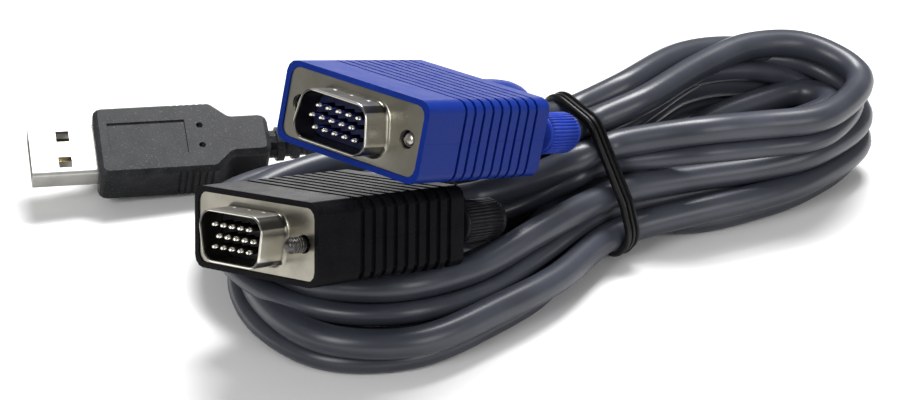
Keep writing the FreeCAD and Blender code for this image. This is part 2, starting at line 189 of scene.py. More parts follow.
def smooth_step(shade, value, low, high):
    """0 below low, 1 above high and a soft change between."""
    sizes = {"Value": value, "From Min": low, "From Max": high}
    return shade.node("ShaderNodeMapRange", {"interpolation_type": "SMOOTHSTEP"}, sizes)


def length_step(shade, length, low, high):
    """Smooth step of a length in metres; low and high are in millimetres."""
    return smooth_step(shade, length, low * MM, high * MM)


def bump(shade, height, depth, strength):
    """Normals of a surface whose relief has a depth in millimetres."""
    sizes = {"Strength": strength, "Distance": depth * MM, "Height": height}
    return shade.node("ShaderNodeBump", inputs=sizes)


def connect(material, shader, **links):
    """Links values to the sockets of a shader, by their names."""
    for name, value in links.items():
        material.node_tree.links.new(value.socket, shader.inputs[name.replace("_", " ")])


# Where marks on the plugs fade, painted shade and painted sheen among them, in millimetres
PARTING_LINE = (0.03, 0.11)
RECESS_TOP = (2.8, 3.6)
RECESS_SIDE, RECESS_FRONT, RECESS_BACK = 0.3, 1.0, 0.4
SHROUD_ROOT = (-1.2, -0.4)
INNER_FACE = (-0.2, -0.1)
INNER_ROOT = (-0.2, 0.0)
PIN_NOSE = (PIN_TIP + 0.5, PIN_TIP + 1.1)

# Painted colours: shade for the USB recess, a sheen and inner shade for the D shroud, a glint on the pin noses
RECESS_SHADE = linear(6, 7, 8)
SHROUD_NICKEL_AND_SHEEN = linear(224, 221, 210)
SHROUD_SHADE = linear(24, 25, 30)
NOSE_GOLD_AND_GLINT = linear(246, 242, 232)


def moulded(name, pose, colour, pale, grain, roughness, gloss, parting=0.0, recess=None):
    """Moulded plastic: spark-eroded grain, faint blotches and a parting line; a recess can get painted shade, near
    black.
    """
    material, shade, shader = new_material(name)
    place = own_coordinates(shade, pose)
    x, y, z = split(shade, place)
    blotch = noise(shade, place, scale=260.0, detail=3.0)
    fine = noise(shade, place, scale=grain, roughness=0.6)
    speck = smooth_step(shade, fine, 0.56, 0.78)
    line = 1.0 - length_step(shade, (z - parting * MM).size(), *PARTING_LINE)
    tone = (speck * 0.45 + blotch * 0.35).mixed(colour, pale)
    # Painted shade: the recess is darkened towards near black where shade falls
    if recess:
        out, start, end = recess
        beside = length_step(shade, x.size(), out - RECESS_SIDE, out)
        behind = length_step(shade, y, start, start + RECESS_FRONT)
        before = 1.0 - length_step(shade, y, end - RECESS_BACK, end)
        below = 1.0 - length_step(shade, z, *RECESS_TOP)
        tone = (beside * (behind * before) * below * 0.85).mixed(tone, RECESS_SHADE)
    height = fine * 0.5 + line * 0.8 + blotch * 0.1
    connect(material, shader, Base_Color=tone, Roughness=roughness + (blotch - 0.5) * 0.16)
    connect(material, shader, Normal=bump(shade, height, depth=0.06, strength=0.8))
    shader.inputs["Specular IOR Level"].default_value = gloss
    return material


def plated(name, pose, colour, roughness, streak):
    """Nickel plate with faint rolling lines and stains; a D shroud gets a painted sheen, brighter than its flange,
    and painted shade inside.
    """
    material, shade, shader = new_material(name)
    place = own_coordinates(shade, pose)
    stretched = shade.node("ShaderNodeMapping", inputs={"Vector": place, "Scale": (1.0, 0.05, 1.0)})
    rolled = noise(shade, stretched, scale=streak, detail=4.0, roughness=0.6)
    stain = noise(shade, place, scale=180.0, detail=3.0)
    dull = tuple(0.78 * c for c in colour)
    tone = smooth_step(shade, stain, 0.3, 0.75).mixed(colour, dull)
    depth = split(shade, place)[1]
    # Painted sheen: the standing shroud is brighter than the flange of the same sheet
    shroud_sheen = 1.0 - length_step(shade, depth, *SHROUD_ROOT)
    tone = shroud_sheen.mixed(tone, SHROUD_NICKEL_AND_SHEEN)
    # Painted shade: the inner face of the shroud is darkened
    tone = (inside_shroud(shade, place) * 0.86).mixed(tone, SHROUD_SHADE)
    connect(material, shader, Base_Color=tone)
    connect(material, shader, Roughness=roughness + rolled * 0.12 + stain * 0.08)
    connect(material, shader, Normal=bump(shade, rolled, depth=0.01, strength=0.35))
    shader.inputs["Metallic"].default_value = 1.0
    return material


def inside_shroud(shade, place):
    """1 on the inner face of the D shroud, where painted shade goes, 0 elsewhere."""
    x, y, z = split(shade, place)
    half_height = 0.5 * SHROUD_HEIGHT * MM
    wall = (z + half_height) * SHROUD_SLOPE + SHROUD_FOOT * MM
    across = length_step(shade, wall - x.size(), *INNER_FACE)
    upright = length_step(shade, half_height - z.size(), *INNER_FACE)
    return across * upright * (1.0 - length_step(shade, y, *INNER_ROOT))


def pin_plate(name, pose, root):
    """Gold flash on the pins: a painted highlight on the gold at the nose, and painted shade in a root colour
    towards the block.
    """
    material, shade, shader = new_material(name)
    place = own_coordinates(shade, pose)
    depth = split(shade, place)[1]
    spots = noise(shade, place, scale=1200.0, detail=3.0)
    nose = 1.0 - length_step(shade, depth, *PIN_NOSE)
    connect(material, shader, Base_Color=nose.mixed(root, NOSE_GOLD_AND_GLINT))
    connect(material, shader, Roughness=0.14 + spots * 0.12)
    shader.inputs["Metallic"].default_value = 1.0
    return material


def polished(name, colour, worn, scale, roughness, metallic, gloss=0.5):
    """Small hard piece: gold flash, steel or a glossy block, with worn spots."""
    material, shade, shader = new_material(name)
    spots = noise(shade, object_place(shade), scale, detail=3.0)
    connect(material, shader, Base_Color=smooth_step(shade, spots, 0.4, 0.7).mixed(colour, worn))
    connect(material, shader, Roughness=roughness + spots * 0.12)
    connect(material, shader, Normal=bump(shade, spots, depth=0.01, strength=0.4))
    shader.inputs["Metallic"].default_value = metallic
    shader.inputs["Specular IOR Level"].default_value = gloss
    return material


def jacket(name, colour, pale):
    """Lead's smooth jacket: soft sheen, slow waves and a faint bloom."""
    material, shade, shader = new_material(name)
    place = object_place(shade)
    bloom = noise(shade, place, scale=60.0, detail=3.0)
    fine = noise(shade, place, scale=2600.0)
    wave = noise(shade, place, scale=240.0)
    tone = smooth_step(shade, bloom, 0.3, 0.8) * 0.7 + fine * 0.2
    connect(material, shader, Base_Color=tone.mixed(colour, pale))
    connect(material, shader, Roughness=0.26 + bloom * 0.12 + fine * 0.05)
    connect(material, shader, Normal=bump(shade, fine * 0.25 + wave, depth=0.05, strength=0.35))
    shader.inputs["Specular IOR Level"].default_value = 0.5
    return material


METAL, PLASTIC = 1.0, 0.0
D_NICKEL = linear(158, 154, 142)

BLUE_HOOD = moulded("blue moulding", POSES["blue"], linear(12, 42, 132), linear(34, 68, 168),
                    grain=3600.0, roughness=0.38, gloss=0.1)
BLACK_HOOD = moulded("black moulding", POSES["black"], linear(7, 7, 9), linear(44, 44, 48),
                     grain=3400.0, roughness=0.3, gloss=0.03)
# Knobs: lighter copies of the hoods' plastics, painted light on the knobs
LIT_BLUE_KNOB = moulded("blue knob moulding", POSES["blue"], linear(40, 66, 174), linear(66, 94, 212),
                    grain=3600.0, roughness=0.38, gloss=0.12)
LIT_BLACK_KNOB = moulded("black knob moulding", POSES["black"], linear(24, 24, 28), linear(66, 66, 72),
                     grain=3400.0, roughness=0.32, gloss=0.14)
# USB moulding: painted shade in the recess on the sides of its neck
USB_BODY = moulded("usb moulding", POSES["usb"], linear(12, 14, 16), linear(112, 113, 115),
                   grain=2600.0, roughness=0.4, gloss=0.1, parting=-1.6, recess=(4.5, 38.0, 47.6))
BLUE_SHELL = plated("blue plug plate", POSES["blue"], D_NICKEL, roughness=0.2, streak=900.0)
BLACK_SHELL = plated("black plug plate", POSES["black"], D_NICKEL, roughness=0.2, streak=900.0)
USB_SHELL = plated("usb plate", POSES["usb"], linear(188, 187, 182), roughness=0.36, streak=800.0)
STEEL = polished("screw steel", linear(190, 187, 180), linear(140, 137, 130), 900.0, 0.24, METAL)
DARK_STEEL = polished("dark screw steel", linear(92, 90, 88), linear(58, 57, 56), 900.0, 0.3, METAL)
PIN_GOLD = polished("contact gold", linear(238, 226, 190), linear(214, 196, 150), 1200.0, 0.16, METAL)
# Pins: painted shade towards the block in each block's colour, and a painted highlight at the nose
BLUE_PINS = pin_plate("blue plug pin plate", POSES["blue"], linear(34, 42, 92))
BLACK_PINS = pin_plate("black plug pin plate", POSES["black"], linear(30, 26, 20))
NAVY_BLOCK = polished("navy block", linear(17, 22, 52), linear(26, 33, 70), 700.0, 0.3, PLASTIC)
BLACK_BLOCK = polished("black block", linear(14, 14, 15), linear(26, 26, 27), 700.0, 0.3, PLASTIC)
WHITE_TONGUE = polished("white tongue", linear(226, 226, 222), linear(205, 205, 200), 500.0, 0.35, PLASTIC)
JACKET = jacket("slate jacket", linear(50, 53, 62), linear(76, 79, 90))
TIE_BLACK = polished("tie plastic", linear(10, 10, 11), linear(20, 20, 22), 1500.0, 0.3, PLASTIC, gloss=0.3)


# Forms and meshes

def finish_piece(piece, body, slot, *nodes):
    """Hangs a piece on the body that it rides on and hides the CAD nodes that it replaces; the slot is not used.
    """
    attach(piece, body)
    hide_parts(*nodes)


def placed(name, data):
    """New object in the scene."""
    piece = bpy.data.objects.new(name, data)
    bpy.context.scene.collection.objects.link(piece)
    return piece


def mesh_object(name, mesh, material):
    """New object with a mesh and one material."""
    mesh.materials.clear()
    mesh.materials.append(material)
    return placed(name, mesh)


def evaluated_mesh(piece):
    """Plain mesh of a piece as its modifiers or its curve leave it."""
    bpy.context.view_layer.update()
    evaluated = piece.evaluated_get(bpy.context.evaluated_depsgraph_get())
    return bpy.data.meshes.new_from_object(evaluated)


def applied(piece):
    """The piece with its modifiers worked into a plain mesh."""
    mesh = evaluated_mesh(piece)
    piece.modifiers.clear()
    piece.data = mesh
    return piece


def closed(form, name):
    """Mesh of a form that is done."""
    mesh = bpy.data.meshes.new(name)
    form.to_mesh(mesh)
    form.free()
    return mesh


def smoothed(mesh, sharp):
    """The mesh shaded smooth, apart from edges sharper than an angle in degrees."""
    mesh.polygons.foreach_set("use_smooth", [True] * len(mesh.polygons))
    mesh.set_sharp_from_angle(angle=math.radians(sharp))
    return mesh


def bridge(form, rings):
    """Smooth quads between each ring of corners and the next."""
    for this, following in zip(rings, rings[1:]):
        for i in range(len(this)):
            j = (i + 1) % len(this)
            form.faces.new((this[i], this[j], following[j], following[i])).smooth = True


def fan(sweep, steps, first=0):
    """Values from 0 to a sweep in equal steps, from one of the steps on."""
    return [sweep * step / steps for step in range(first, steps + 1)]


def softened(name, node, material, edge, sharp, merge=0.004, flat=1.0):
    """Copy of a CAD solid with its sharp edges rounded and its small flats shaded as one curve.

    Edge and merge are in millimetres, sharp and flat in degrees.
    """
    form = bmesh.new()
    form.from_mesh(frame["nodes"][node].data)
    bmesh.ops.remove_doubles(form, verts=form.verts, dist=merge * MM)
    bmesh.ops.dissolve_limit(form, angle_limit=math.radians(flat), verts=form.verts, edges=form.edges)
    piece = mesh_object(name, smoothed(closed(form, name), sharp), material)
    rounding = piece.modifiers.new("rounded edges", "BEVEL")
    rounding.width = edge * MM
    rounding.segments = 2
    rounding.limit_method = "ANGLE"
    rounding.angle_limit = math.radians(sharp)
    rounding.use_clamp_overlap = True
    weighing = piece.modifiers.new("flat faces", "WEIGHTED_NORMAL")
    weighing.mode = "FACE_AREA"
    weighing.weight = 100
    return applied(piece)


# Pieces made from the CAD solids: width of the rounded edges in millimetres, angle of a sharp edge in degrees
SKINS = [
    ("blue_hood_skin", "blue_hood", BLUE_HOOD, "blue_moulding", 0.22, 38.0),
    ("black_hood_skin", "black_hood", BLACK_HOOD, "black_moulding", 0.22, 38.0),
    ("usb_body_skin", "usb_overmould", USB_BODY, "usb_moulding", 0.2, 28.0),
    ("usb_plate", "usb_shell", USB_SHELL, "plated_shell", 0.06, 38.0),
]
for skin, node, paint, paint_slot, edge, sharp in SKINS:
    finish_piece(softened(skin, node, paint, edge, sharp), "cable", paint_slot, node)

# CAD solids that stay as they are, with new paint
PAINTS = {
    "blue_rear_shell": BLUE_SHELL,
    "black_rear_shell": BLACK_SHELL,
    "blue_insulator": NAVY_BLOCK,
    "black_insulator": BLACK_BLOCK,
    "usb_tongue": WHITE_TONGUE,
    "usb_contacts": PIN_GOLD,
}
for node, paint in PAINTS.items():
    for node_slot in frame["nodes"][node].material_slots:
        node_slot.material = paint


# Front plates, in millimetres: flange with two screw holes and a drawn D shroud with dimples

FLANGE_WIDTH = 30.81
FLANGE_HEIGHT = 12.55
FLANGE_CORNER = 1.8
FLANGE_HOLE_D = 3.3
SCREW_SPACING = 24.99
ROOT_FILLET = 0.8
RIM_ROUNDING = 0.25
DIMPLE_D = 1.7
DIMPLE_DEPTH = 0.3
DIMPLE_PITCH = 3.9
DIMPLE_FROM_FLANGE = 1.5
INNER_RINGS = (-4.0, -2.0, 0.0, SHELL_SHEET)
FLAT_MARGIN = 0.01

# How finely the front plates are divided: corners, holes, sides of the D, fillet, wall and rim of the shroud
CORNER_STEPS = 10
HOLE_SIDES = 32
D_PIECES = (48, 8, 42, 8)
ROOT_STEPS = 6
WALL_STEPS = 22
RIM_STEPS = 8
PLATE_SHARP = 40.0


def rounded_loop(corners, radius, y, pieces=(1, 1, 1, 1)):
    """Points round a four-cornered outline in X and Z at depth y: corners rounded, sides in pieces."""
    arcs = []
    for i, corner in enumerate(corners):
        here = Vector(corner)
        back = (Vector(corners[i - 1]) - here).normalized()
        on = (Vector(corners[(i + 1) % 4]) - here).normalized()
        half = back.angle(on) / 2
        centre = here + (back + on).normalized() * radius / math.sin(half)
        first = here + back * radius / math.tan(half) - centre
        last = here + on * radius / math.tan(half) - centre
        arc = []
        for a in fan(-first.angle_signed(last), CORNER_STEPS):
            cos, sin = math.cos(a), math.sin(a)
            arc.append(centre + Vector((first.x * cos - first.y * sin, first.x * sin + first.y * cos)))
        arcs.append(arc)
    loop = []
    for arc, following, count in zip(arcs, arcs[1:] + arcs[:1], pieces):
        loop += arc + [arc[-1].lerp(following[0], k / count) for k in range(1, count)]
    return [Vector((place.x, y, place.y)) for place in loop]


def d_loop(grow, y):
    """D outline of the shroud's inner face, grown by a length, at depth y."""
    high = SHROUD_HEIGHT / 2 + grow
    wide = SHROUD_WIDTH / 2 + grow
    narrow = wide - 2 * high * SHROUD_SLOPE
    corners = [(wide, high), (-wide, high), (-narrow, -high), (narrow, -high)]
    return rounded_loop(corners, SHROUD_CORNER + grow, y, D_PIECES)


def dimpled(place):
    """A point of the shroud's outer face, pressed in where a dimple lies."""
    deep = 0.0
    for step in (-1, 0, 1):
        off = math.hypot(place.x - step * DIMPLE_PITCH, place.y + DIMPLE_FROM_FLANGE) / (DIMPLE_D / 2)
        deep = max(deep, DIMPLE_DEPTH * (1 - min(off, 1.0) ** 2) ** 2)
    flat = abs(place.z) > SHROUD_HEIGHT / 2 + SHELL_SHEET - FLAT_MARGIN
    return place - Vector((0, 0, math.copysign(deep if flat else 0.0, place.z)))


def hole_loop(side, y):
    """Points round a screw hole of the flange."""
    r = FLANGE_HOLE_D / 2
    angles = fan(2 * math.pi, HOLE_SIDES)[:-1]
    return [Vector((side * SCREW_SPACING / 2 + r * math.cos(a), y, r * math.sin(a))) for a in angles]


def shroud_profile():
    """Section of the shroud as (growth, depth): fillet on the flange, outer wall, rolled rim, inner wall."""
    profile = []
    for a in fan(math.pi / 2, ROOT_STEPS):
        profile.append((SHELL_SHEET + ROOT_FILLET * (1 - math.sin(a)), -ROOT_FILLET * (1 - math.cos(a))))
    straight = SHROUD_REACH - ROOT_FILLET - RIM_ROUNDING
    profile += [(SHELL_SHEET, -ROOT_FILLET - length) for length in fan(straight, WALL_STEPS, 1)]
    for a in fan(math.pi, RIM_STEPS, 1):
        y = RIM_ROUNDING * (1 - math.sin(a)) - SHROUD_REACH
        profile.append((SHELL_SHEET / 2 + RIM_ROUNDING * math.cos(a), y))
    return profile + [(0.0, y) for y in INNER_RINGS]


def front_plate(colour, material):
    """Plate of a D plug: flange, screw holes and shroud in one sheet."""
    form = bmesh.new()

    def ring(points):
        return [form.verts.new(point) for point in points]

    def cover(rings):
        """Flat face between an outline and the openings in it."""
        edges = []
        for loop in rings:
            for pair in zip(loop, loop[1:] + loop[:1]):
                edges.append(form.edges.get(pair) or form.edges.new(pair))
        bmesh.ops.triangle_fill(form, use_beauty=True, edges=edges)

    shroud = []
    for grow, y in shroud_profile():
        outer = grow == SHELL_SHEET
        shroud.append(ring(dimpled(place) if outer else place for place in d_loop(grow, y)))
    bridge(form, shroud)
    wide, high = FLANGE_WIDTH / 2, FLANGE_HEIGHT / 2
    corners = [(wide, high), (-wide, high), (-wide, -high), (wide, -high)]
    sheet = (0.0, SHELL_SHEET)
    rim = [ring(rounded_loop(corners, FLANGE_CORNER, y)) for y in sheet]
    holes = [[ring(hole_loop(side, y)) for y in sheet] for side in (-1, 1)]
    for pair in [rim] + holes:
        bridge(form, pair)
    cover([rim[0], holes[0][0], holes[1][0], shroud[0]])
    cover([rim[1], holes[0][1], holes[1][1], shroud[-1]])
    bmesh.ops.recalc_face_normals(form, faces=form.faces)
    mesh = smoothed(closed(form, colour + " front plate"), PLATE_SHARP)
    mesh.transform(POSES[colour] @ Matrix.Scale(MM, 4))
    return mesh_object(colour + "_plate", mesh, material)


finish_piece(front_plate("blue", BLUE_SHELL), "cable", "plated_shell", "blue_front_shell")
finish_piece(front_plate("black", BLACK_SHELL), "cable", "plated_shell", "black_front_shell")


# Pieces made by geometry nodes

# How finely they are divided
RIB_SIDES = 8
THREAD_STEPS = 24
RIDGE_SIDES = 5
PIN_SIDES = 20
NOSE_RINGS = 10
SCREW_SIDES = 32


class Tree:
    """A geometry node tree with named inputs for its sizes and counts."""

    def __init__(self, name, sizes, counts=()):
        self.tree = bpy.data.node_groups.new(name, "GeometryNodeTree")
        sockets = self.tree.interface
        sockets.new_socket("Geometry", in_out="INPUT", socket_type="NodeSocketGeometry")
        sockets.new_socket("Geometry", in_out="OUTPUT", socket_type="NodeSocketGeometry")
        self.identifiers = {}
        for label in (*counts, *sizes):
            kind = "NodeSocketInt" if label in counts else "NodeSocketFloat"
            socket = sockets.new_socket(label, in_out="INPUT", socket_type=kind)
            self.identifiers[label] = socket.identifier
        self.start = self.tree.nodes.new("NodeGroupInput")
        self.end = self.tree.nodes.new("NodeGroupOutput")

    def size(self, label):
        """Socket of a named size or count."""
        return self.start.outputs[label]

    def feed(self, socket, source):
        """Links a socket to another or gives it a value."""
        if isinstance(source, bpy.types.NodeSocket):
            self.tree.links.new(source, socket)
        else:
            socket.default_value = source

    def node(self, kind, output=0, **inputs):
        """Adds a node with values or links for its sockets; a list goes to one socket in its order."""
        added = self.tree.nodes.new(kind)
        for name, value in inputs.items():
            for source in value if isinstance(value, list) else [value]:
                self.feed(added.inputs[name.replace("_", " ")], source)
        return added.outputs[output]

    def maths(self, operation, first, second):
        """Adds a Math node."""
        result = self.node("ShaderNodeMath")
        result.node.operation = operation
        self.feed(result.node.inputs[0], first)
        self.feed(result.node.inputs[1], second)
        return result

    def close(self, geometry, material):
        """Ends the tree with plain geometry of one material."""
        real = self.node("GeometryNodeRealizeInstances", Geometry=geometry)
        painted = self.node("GeometryNodeSetMaterial", Geometry=real, Material=material)
        self.tree.links.new(painted, self.end.inputs[0])

    def make(self, name, mesh, material, pose, **sizes):
        """Plain mesh piece from the tree and its sizes, set in its place."""
        piece = mesh_object(name, mesh, material)
        modifier = piece.modifiers.new("made", "NODES")
        modifier.node_group = self.tree
        for label, value in sizes.items():
            modifier[self.identifiers[label]] = value
        applied(piece)
        piece.data.transform(pose)
        return piece


def turned(name, profile, sides=48):
    """Mesh turned about Z from (radius, height) points in millimetres."""
    form = bmesh.new()
    rings = []
    for radius, height in profile:
        angles = fan(2 * math.pi, sides)[:-1]
        corners = [Vector((radius * math.cos(a), radius * math.sin(a), height)) for a in angles]
        rings.append([form.verts.new(corner * MM) for corner in corners])
    bridge(form, rings)
    form.faces.new(tuple(reversed(rings[0])))
    form.faces.new(rings[-1])
    return closed(form, name)


def rib_tree(material):
    """Lengthwise ribs set round a turned core."""
    tree = Tree("knob ribs", sizes=("Radius", "Width", "Length", "Start"), counts=("Ribs",))
    radius, width, length, start = (tree.size(label) for label in ("Radius", "Width", "Length", "Start"))
    circle = tree.node("GeometryNodeMeshCircle", Vertices=tree.size("Ribs"), Radius=radius)
    middle = tree.maths("ADD", tree.maths("MULTIPLY", length, 0.5), start)
    lift = tree.node("ShaderNodeCombineXYZ", Z=middle)
    raised = tree.node("GeometryNodeTransform", Geometry=circle, Translation=lift)
    bar = tree.node("GeometryNodeMeshCylinder", Vertices=RIB_SIDES, Radius=width, Depth=length)
    smooth = tree.node("GeometryNodeSetShadeSmooth", Geometry=bar)
    ribs = tree.node("GeometryNodeInstanceOnPoints", Points=raised, Instance=smooth)
    both = tree.node("GeometryNodeJoinGeometry", Geometry=[tree.start.outputs[0], ribs])
    tree.close(both, material)
    return tree


def thread_tree(material):
    """Screw thread wound round a turned core."""
    tree = Tree("screw thread", sizes=("Turns", "Radius", "Height", "Ridge", "Start"))
    radius = tree.size("Radius")
    spiral = tree.node("GeometryNodeCurveSpiral", Resolution=THREAD_STEPS, Rotations=tree.size("Turns"),
                       Start_Radius=radius, End_Radius=radius, Height=tree.size("Height"))
    ridge = tree.node("GeometryNodeCurvePrimitiveCircle", Resolution=RIDGE_SIDES, Radius=tree.size("Ridge"))
    wound = tree.node("GeometryNodeCurveToMesh", Curve=spiral, Profile_Curve=ridge, Fill_Caps=True)
    lift = tree.node("ShaderNodeCombineXYZ", Z=tree.size("Start"))
    raised = tree.node("GeometryNodeTransform", Geometry=wound, Translation=lift)
    both = tree.node("GeometryNodeJoinGeometry", Geometry=[tree.start.outputs[0], raised])
    tree.close(both, material)
    return tree


def pin_tree(material):
    """Round-nosed pins on the points of the contact pattern, along -Y."""
    tree = Tree("contact pins", sizes=("Radius", "Length"))
    radius, length = tree.size("Radius"), tree.size("Length")
    bar = tree.node("GeometryNodeMeshCylinder", Vertices=PIN_SIDES, Radius=radius, Depth=length)
    nose = tree.node("GeometryNodeMeshUVSphere", Segments=PIN_SIDES, Rings=NOSE_RINGS, Radius=radius)
    ahead = tree.node("ShaderNodeCombineXYZ", Z=tree.maths("MULTIPLY", length, 0.5))
    tip = tree.node("GeometryNodeTransform", Geometry=nose, Translation=ahead)
    pin = tree.node("GeometryNodeJoinGeometry", Geometry=[bar, tip])
    smooth = tree.node("GeometryNodeSetShadeSmooth", Geometry=pin)
    turn = tree.node("GeometryNodeTransform", Geometry=smooth, Rotation=(math.pi / 2, 0.0, 0.0))
    pins = tree.node("GeometryNodeInstanceOnPoints", Points=tree.start.outputs[0], Instance=turn)
    tree.close(pins, material)
    return tree


# Thumbscrews, in millimetres: diameter, length and number of ribs of a knob; room between hood and knob when
# the thread is level with the flange; how far each thread stands out of its flange
KNOBS = {"blue": (7.7, 10.4, 36), "black": (7.9, 10.9, 36)}
SCREW_TRAVEL = {"blue": 1.4, "black": 4.2}
SCREW_OUT = {("blue", "left"): -0.4, ("blue", "right"): -0.4,
             ("black", "left"): -0.4, ("black", "right"): 3.8}
KNOB_COLLAR = ((0.5, 0.0), (0.05, 0.35), (0.0, 0.6))
KNOB_END_WIDTH = 1.9
KNOB_END_LENGTH = 2.2
KNOB_END_STEPS = 8
RIB_DEPTH = 0.28
RIB_START = 0.5
RIB_SHORTER = 2.6
THREAD_D = 2.84
THREAD_LENGTH = 3.5
THREAD_DEPTH = 0.22
THREAD_TURNS = 5.0
THREAD_RIDGE = 0.2
THREAD_START = 0.45
THREAD_SHORTER = 0.6
SHANK_D = 2.4
SHANK_STEP = 0.1
SHANK_IN_KNOB = 6.0
SCREW_CHAMFER = 0.4
END_RADIUS = 0.2
KNOB_PAINTS = {"blue": LIT_BLUE_KNOB, "black": LIT_BLACK_KNOB}
SCREW_PAINTS = {"blue": STEEL, "black": DARK_STEEL}


def screw_pose(colour, hand):
    """Frame of a thumbscrew: Z from the thread's tip to the knob, origin where it leaves the hood."""
    joint = JOINTS[colour + "_thumbscrew_" + hand + "_turn"]
    pose = POSES[colour] @ Matrix.Rotation(math.radians(-90), 4, "X")
    pose.translation = Vector(joint["pos_m"])
    return pose


def knob_mesh(colour, gap):
    """Turned core of a knob: a slight collar, a straight grip and a rounded end."""
    d, length, _ = KNOBS[colour]
    root = d / 2 - RIB_DEPTH
    end = gap + length
    profile = [(SHANK_D / 2, gap)] + [(root - inward, gap + up) for inward, up in KNOB_COLLAR]
    for a in fan(math.pi / 2, KNOB_END_STEPS, 1):
        profile.append((root - KNOB_END_WIDTH + KNOB_END_WIDTH * math.cos(a),
                        end - KNOB_END_LENGTH + KNOB_END_LENGTH * math.sin(a)))
    return turned(colour + " knob core", profile + [(END_RADIUS, end)])


def screw_mesh(colour, hand, gap):
    """Turned core of a screw: chamfered tip, core of the thread and a thinner shank up into the knob."""
    tip = -HOOD_DEPTH - SCREW_OUT[colour, hand]
    root = THREAD_D / 2 - THREAD_DEPTH
    start = tip + THREAD_LENGTH
    profile = [(END_RADIUS, tip), (root - SCREW_CHAMFER, tip), (root, tip + SCREW_CHAMFER), (root, start)]
    profile += [(SHANK_D / 2, start + SHANK_STEP), (SHANK_D / 2, gap + SHANK_IN_KNOB)]
    return turned(colour + " screw core", profile, SCREW_SIDES)


threads = {colour: thread_tree(paint) for colour, paint in SCREW_PAINTS.items()}
grips = {colour: rib_tree(paint) for colour, paint in KNOB_PAINTS.items()}
for (colour, hand), out in SCREW_OUT.items():
    body = colour + "_thumbscrew_" + hand
    pose = screw_pose(colour, hand)
    gap = SCREW_TRAVEL[colour] - out
    d, length, count = KNOBS[colour]
    ribs = {"Ribs": count, "Radius": (d / 2 - RIB_DEPTH) * MM, "Width": RIB_DEPTH * MM,
            "Length": (length - RIB_SHORTER) * MM, "Start": (gap + RIB_START) * MM}
    core = knob_mesh(colour, gap)
    knob = grips[colour].make(body + "_knob", core, KNOB_PAINTS[colour], pose, **ribs)
    finish_piece(knob, body, colour + "_moulding", colour + "_knob_" + hand)
    thread = {"Turns": THREAD_TURNS, "Radius": (THREAD_D / 2 - THREAD_RIDGE) * MM,
              "Height": (THREAD_LENGTH - THREAD_SHORTER) * MM, "Ridge": THREAD_RIDGE * MM,
              "Start": (THREAD_START - HOOD_DEPTH - out) * MM}
    core = screw_mesh(colour, hand, gap)
    screw = threads[colour].make(body + "_screw", core, SCREW_PAINTS[colour], pose, **thread)
    finish_piece(screw, body, "screw_steel", colour + "_screw_" + hand)

# Contact pins, in millimetres: three rows of five, the middle row shifted by half a pitch
PIN_D = 0.76
PIN_PITCH = 2.29
ROW_PITCH = 1.98
PIN_BACK = 9.0
PIN_MIDDLE = (PIN_TIP + PIN_D / 2 + PIN_BACK) / 2
for colour, paint in (("blue", BLUE_PINS), ("black", BLACK_PINS)):
    pattern = bmesh.new()
    for row in (-1, 0, 1):
        shift = PIN_PITCH / 4 if row == 0 else -PIN_PITCH / 4
        for column in range(-2, 3):
            place = Vector((column * PIN_PITCH + shift, PIN_MIDDLE, row * ROW_PITCH))
            pattern.verts.new(place * MM)
    mesh = closed(pattern, colour + " contact pattern")
    pin = {"Radius": PIN_D / 2 * MM, "Length": (PIN_BACK - PIN_TIP - PIN_D / 2) * MM}
    piece = pin_tree(paint).make(colour + "_contact_pins", mesh, paint, POSES[colour], **pin)
    finish_piece(piece, "cable", "gold_contacts", colour + "_pins")


# Tie: a ridged band round the waist of the hank, its section as places across and heights in millimetres

TIE_CENTRE = Vector((28.0, 6.7, 0.0))
TIE_HEADING = 38.0
TIE_SECTION = [(-1.5, 0.75), (-1.2, 1.15), (-0.85, 1.2), (-0.6, 0.72), (-0.4, 0.72), (-0.2, 1.1), (0.2, 1.1),
               (0.4, 0.72), (0.6, 0.72), (0.85, 1.2), (1.2, 1.15), (1.5, 0.75), (1.5, 0.0), (-1.5, 0.0)]
TIE_STEPS = 8
TIE_SHARP = 50.0
WAIST_OUTLINE = [(-10.0, 23.0), (-3.7, 21.9), (4.8, 10.6), (6.2, 7.0), (5.0, 5.4), (-11.0, 5.4)]
WAIST_CORNER = 4.0
WAIST_AXIS = Vector((math.cos(math.radians(TIE_HEADING)), math.sin(math.radians(TIE_HEADING)), 0.0))
WAIST_NEAR = Vector((WAIST_AXIS.y, -WAIST_AXIS.x, 0.0))


def waist(s, z, along=0.0):
    """A point of the waist in millimetres: towards the viewer, height and along the bundle."""
    return TIE_CENTRE + WAIST_NEAR * s + WAIST_AXIS * along + Vector((0.0, 0.0, z))


def tie_outline():
    """Places and outward directions round the waist, corners in short steps."""
    count = len(WAIST_OUTLINE)
    line = []
    for i, corner in enumerate(WAIST_OUTLINE):
        here = Vector(corner)
        first = (here - Vector(WAIST_OUTLINE[i - 1])).normalized()
        second = (Vector(WAIST_OUTLINE[(i + 1) % count]) - here).normalized()
        start = math.atan2(first.x, -first.y)
        for turn in fan(first.angle(second), TIE_STEPS):
            line.append((here, Vector((math.cos(start - turn), math.sin(start - turn)))))
    return line


def tie_band():
    """Band with three ridges along it, swept round the waist."""
    form = bmesh.new()
    rings = []
    for corner, outward in tie_outline():
        ring = []
        for across, height in TIE_SECTION:
            place = corner + outward * (WAIST_CORNER + height)
            ring.append(form.verts.new(waist(place.x, place.y, across) * MM))
        rings.append(ring)
    bridge(form, rings + rings[:1])
    bmesh.ops.recalc_face_normals(form, faces=form.faces)
    return mesh_object("tie_band", smoothed(closed(form, "tie band"), TIE_SHARP), TIE_BLACK)


finish_piece(tie_band(), "cable", "tie_plastic", "cable_tie")


# Twin lead: the line of each loop as places (millimetres) and headings, then the lane of each turn on it

